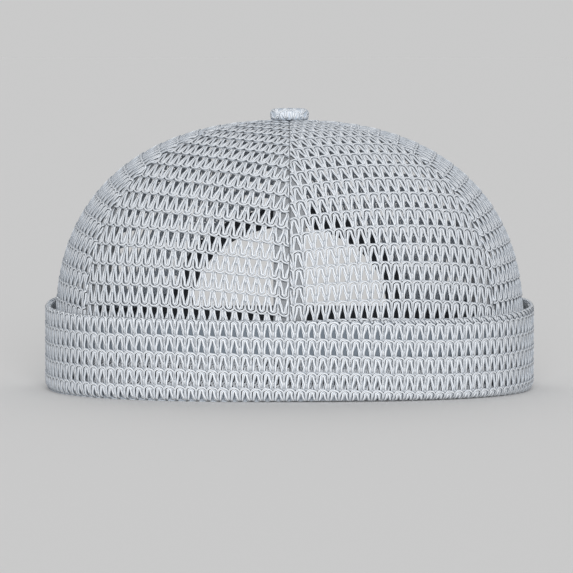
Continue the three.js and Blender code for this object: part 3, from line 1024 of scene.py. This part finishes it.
class CAP_OT_sweatband(bpy.types.Operator):
    """Build the dark band inside the base, with its stitching"""

    bl_idname = "cap.sweatband"
    bl_label = "Sweatband"

    def execute(self, context):
        crown, _, _, _, finish = cap_settings(context)
        light = scaled(finish.dark, 1.5)
        material = woven_material("band cloth", light, finish.dark, threads=1700, depth=0.12 * MM)
        out_at = -BAND_IN
        azimuths, lengths = crown.lengths(0, math.tau, out=out_at)
        low, high = BAND_BOX[0].z, BAND_BOX[1].z
        width, tall = lengths[-1] - 0.1 * MM, high - low
        strip = cloth_strip(width, tall, columns=240, rows=12, thickness=1.4 * MM)
        mesh = sewn(
            strip, lengths[-1], tall, margin=2 * MM, pitch=3 * MM, radius=0.2 * MM, out=-0.75 * MM
        )

        def spot(across, y, z):
            azimuth = np.interp(across, lengths, azimuths)
            puff = BAND_PUFF * np.sin(math.pi * np.clip(y / tall, 0, 1)) * (z < 0)
            return crown.foot_point(azimuth, out_at + z - puff, low + y)

        moved(mesh, spot)
        piece(mesh, "sweatband_cloth", material, ["sweatband"])
        return {"FINISHED"}


class CAP_OT_arch_binding(bpy.types.Operator):
    """Build the dark tape folded round the arch at the back"""

    bl_idname = "cap.arch_binding"
    bl_label = "Arch binding"

    def execute(self, context):
        crown, shape, _, _, finish = cap_settings(context)
        light = scaled(finish.dark, 1.5)
        material = woven_material("binding cloth", light, finish.dark, threads=1600, depth=0.12 * MM)
        rise = shape.arch_top - shape.arch_spring
        curve = Section(
            [(shape.arch_half_width, BINDING_FOOT)]
            + arc((0, shape.arch_spring), (shape.arch_half_width, rise), 0, 180, 120)
            + [(-shape.arch_half_width, BINDING_FOOT)]
        )
        middle, reach = (BINDING_OVER - BINDING_UNDER) / 2, (BINDING_OVER + BINDING_UNDER) / 2
        wrap = Section(
            [(BINDING_WIDTH, -BINDING_UNDER)]
            + arc((0.6 * MM, middle), (1.3 * MM, reach), 270, 90, 10)
            + [(BINDING_LIP, BINDING_OVER)]
        )
        length, tall = curve.length[-1], wrap.length[-1]
        strip = cloth_strip(length, tall, columns=160, rows=36, thickness=0.6 * MM)
        mesh = sewn(
            strip, length, tall, margin=1.2 * MM, pitch=2.8 * MM, radius=0.18 * MM, out=0.32 * MM
        )

        def spot(along, y, z):
            away, out = wrap.at(y, -z)
            x, height = curve.at(along, away)
            return crown.back_point(x, height, out)

        moved(mesh, spot)
        piece(mesh, "arch_binding_tape", material, ["arch_binding"])
        return {"FINISHED"}


class CAP_OT_back_strap(bpy.types.Operator):
    """Build the plain woven strap across the foot of the arch"""

    bl_idname = "cap.back_strap"
    bl_label = "Back strap"

    def execute(self, context):
        crown, _, _, _, finish = cap_settings(context)
        shade = scaled(finish.strap, 0.72)
        material = woven_material("strap cloth", finish.strap, shade, threads=1300, depth=0.16 * MM)
        low, high = STRAP_BOX
        out_at = STRAP_OUT
        azimuths, lengths = crown.lengths(math.pi / 2, 3 * math.pi / 2, out=out_at)
        start = float(np.interp(-high.x, -crown.ring(azimuths, out_at)[:, 0], lengths))
        width, tall = lengths[-1] - 2 * start, high.z - low.z
        strip = cloth_strip(width, tall, columns=90, rows=14, thickness=1.4 * MM)
        mesh = sewn(
            strip, width, tall, margin=2.2 * MM, pitch=2.8 * MM, radius=0.2 * MM, out=0.72 * MM
        )

        def spot(across, y, z):
            azimuth = np.interp(across + start, lengths, azimuths)
            return crown.foot_point(azimuth, out_at + z, low.z + y)

        moved(mesh, spot)
        piece(mesh, "back_strap_cloth", material, ["back_strap"])
        return {"FINISHED"}


class CAP_OT_top_button(bpy.types.Operator):
    """Build the net-covered button and the plate and post under it"""

    bl_idname = "cap.top_button"
    bl_label = "Top button"

    def execute(self, context):
        _, _, net, _, finish = cap_settings(context)
        # The button's yarn has a lighter painted shade in its grooves and on its flanks than the
        # crown's
        material = yarn_material("button cloth", finish.net, scaled(finish.net_painted_shade, 1.5))
        radius = BUTTON_BOX[1].x
        foot = FRONT_GORE[1].z - BUTTON_SINK
        tall = BUTTON_BOX[1].z - foot
        middle_y = (BUTTON_BOX[0].y + BUTTON_BOX[1].y) / 2
        under = BUTTON_BOX[0].z
        centre = (BUTTON_ROUND * radius, tall / 2)
        radii = ((1 - BUTTON_ROUND) * radius - COVER_BESIDE, tall / 2 - COVER_ABOVE)
        dome = Section(
            [(0.0, tall - COVER_ABOVE)]
            + arc(centre, radii, 88, 0, 12)
            + [(radius - 0.5 * MM, tall / 4), (radius - 0.9 * MM, 0.1 * MM)]
            + [(POST_RADIUS, 0.05 * MM)]
        )
        bm = bmesh.new()
        outline = list(zip(dome.first, dome.second + foot))
        outline += [(POST_RADIUS, under + PLATE_THICK + 0.1 * MM), (PLATE_RADIUS, under + PLATE_THICK)]
        outline += [(PLATE_RADIUS, under), (0, under)]
        verts = [bmesh.ops.create_vert(bm, co=(x, 0, z))["vert"][0] for x, z in outline]
        pairs = zip(verts, verts[1:])
        edges = [bmesh.ops.contextual_create(bm, geom=pair)["edges"][0] for pair in pairs]
        turn = {"cent": (0, 0, 0), "axis": (0, 0, 1), "angle": math.tau, "steps": 48}
        bmesh.ops.spin(bm, geom=verts + edges, use_merge=True, **turn)
        bmesh.ops.remove_doubles(bm, verts=bm.verts[:], dist=1e-6)
        body = mesh_from(bm, "button")
        cover = self.cover(net, dome, foot)
        mesh = joined([body, cover], "button")
        moved(mesh, lambda x, y, z: as_columns(x, y + middle_y, z))
        piece(mesh, "button", material, ["top_button"])
        return {"FINISHED"}

    def cover(self, net, dome, foot):
        """The net stretched over the button."""
        columns, rows = COVER_STITCHES
        pitch, row = COVER_SIZE[0] * net.stitch, COVER_SIZE[1] * net.row
        stitch = stitch_mesh(net, row)
        mesh = repeated(stitch, columns, rows, pitch, row)
        bpy.data.meshes.remove(stitch)
        across, up = (columns - 1) / 2 * pitch, 2.1 * row
        reach = dome.length[-2]

        def over(x, y, out):
            x, y = x - across, y - up
            far = np.hypot(x, y)
            turn = np.arctan2(y, x)
            away, height = dome.at(np.minimum(far, reach), -(0.12 * MM + 0.4 * out))
            return as_columns(away * np.cos(turn), away * np.sin(turn), height + foot)

        bm = bmesh.new()
        bm.from_mesh(mesh)
        gone = [vert for vert in bm.verts if math.hypot(vert.co.x - across, vert.co.y - up) > reach]
        bmesh.ops.delete(bm, geom=gone, context="VERTS")
        close_into(mesh, bm)
        moved(mesh, over)
        return mesh


class CAP_OT_stage(bpy.types.Operator):
    """Add the floor, the soft lights and the camera"""

    bl_idname = "cap.stage"
    bl_label = "Stage"

    def execute(self, context):
        stage = context.scene.cap_stage
        self.floor(stage)
        self.lights(context, stage)
        self.camera(context, stage)
        return {"FINISHED"}

    def floor(self, stage):
        """A wide plain floor."""
        bm = bmesh.new()
        bmesh.ops.create_grid(bm, x_segments=1, y_segments=1, size=FLOOR_HALF)
        mesh = mesh_from(bm, "floor")
        made = placed("floor", mesh)
        material, base = shader("floor", 0.9)
        base.inputs["Base Color"].default_value = (*stage.floor, 1)
        base.inputs["Specular IOR Level"].default_value = 0
        mesh.materials.append(material)
        made.visible_diffuse = False

    def floor_tone(self, stage):
        """How bright the floor looks, so that the space behind it shows no edge."""
        lamps = stage.key * math.cos(math.radians(KEY_TURN[0]))
        lamps += stage.back * math.cos(math.radians(BACK_TURN[0]))
        return stage.floor[1] * (stage.ambient + lamps / math.pi)

    def lights(self, context, stage):
        """A broad key from the front, a soft one from behind and light from all round."""
        for name, energy, spread, turns in (
            ("key light", stage.key, KEY_SPREAD, KEY_TURN),
            ("back light", stage.back, BACK_SPREAD, BACK_TURN),
        ):
            data = bpy.data.lights.new(name, "SUN")
            data.energy = energy
            data.angle = math.radians(spread)
            made = placed(name, data)
            made.rotation_euler = tuple(math.radians(part) for part in turns)
        world = bpy.data.worlds.new("studio")
        world.use_nodes = True
        background = world.node_tree.nodes["Background"]
        background.inputs[0].default_value = (1, 1, 1, 1)
        rays = node(world, "ShaderNodeLightPath").outputs["Is Camera Ray"]
        tones = ((0, rays), (3, stage.ambient), (4, self.floor_tone(stage)))
        seen = node(world, "ShaderNodeMapRange", tones)
        link(world, seen.outputs[0], background.inputs[1])
        context.scene.world = world
        context.scene.view_settings.view_transform = "Standard"

    def camera(self, context, stage):
        """The camera at the picture's angle."""
        data = bpy.data.cameras.new("camera")
        data.sensor_width = SENSOR
        data.lens = data.sensor_width * stage.distance / stage.view_width
        data.clip_end = FAR_END
        lift = math.radians(stage.elevation)
        made = placed("camera", data)
        side = stage.view_side * MM
        made.location = (side, -math.cos(lift) * stage.distance, math.sin(lift) * stage.distance)
        down = lift - math.atan(stage.view_height / stage.distance)
        made.rotation_euler = (math.pi / 2 - down, 0, 0)
        context.scene.camera = made


class CAP_PT_panel(bpy.types.Panel):
    """The cap's pieces in the sidebar"""

    bl_idname = "CAP_PT_panel"
    bl_label = "Mesh Skull Cap"
    bl_space_type = "VIEW_3D"
    bl_region_type = "UI"
    bl_category = "Cap"

    def draw(self, context):
        for operator in OPERATORS:
            self.layout.operator(operator.bl_idname)


GROUPS = {
    "cap_shape": CapShape,
    "cap_net": CapNet,
    "cap_cuff": CapCuff,
    "cap_finish": CapFinish,
    "cap_stage": CapStage,
}
OPERATORS = [
    CAP_OT_stage,
    CAP_OT_crown_net,
    CAP_OT_seams,
    CAP_OT_tapes,
    CAP_OT_cuff_net,
    CAP_OT_cuff_facing,
    CAP_OT_sweatband,
    CAP_OT_arch_binding,
    CAP_OT_back_strap,
    CAP_OT_top_button,
]


def register():
    for group in GROUPS.values():
        bpy.utils.register_class(group)
    for made in (*OPERATORS, CAP_PT_panel):
        bpy.utils.register_class(made)
    for name, group in GROUPS.items():
        setattr(bpy.types.Scene, name, PointerProperty(type=group))


def unregister():
    for name in GROUPS:
        delattr(bpy.types.Scene, name)
    for made in (*OPERATORS, CAP_PT_panel, *GROUPS.values()):
        bpy.utils.unregister_class(made)


def main():
    register()
    for operator in OPERATORS:
        group, name = operator.bl_idname.split(".")
        getattr(getattr(bpy.ops, group), name)()


if __name__ == "__main__":
    main()
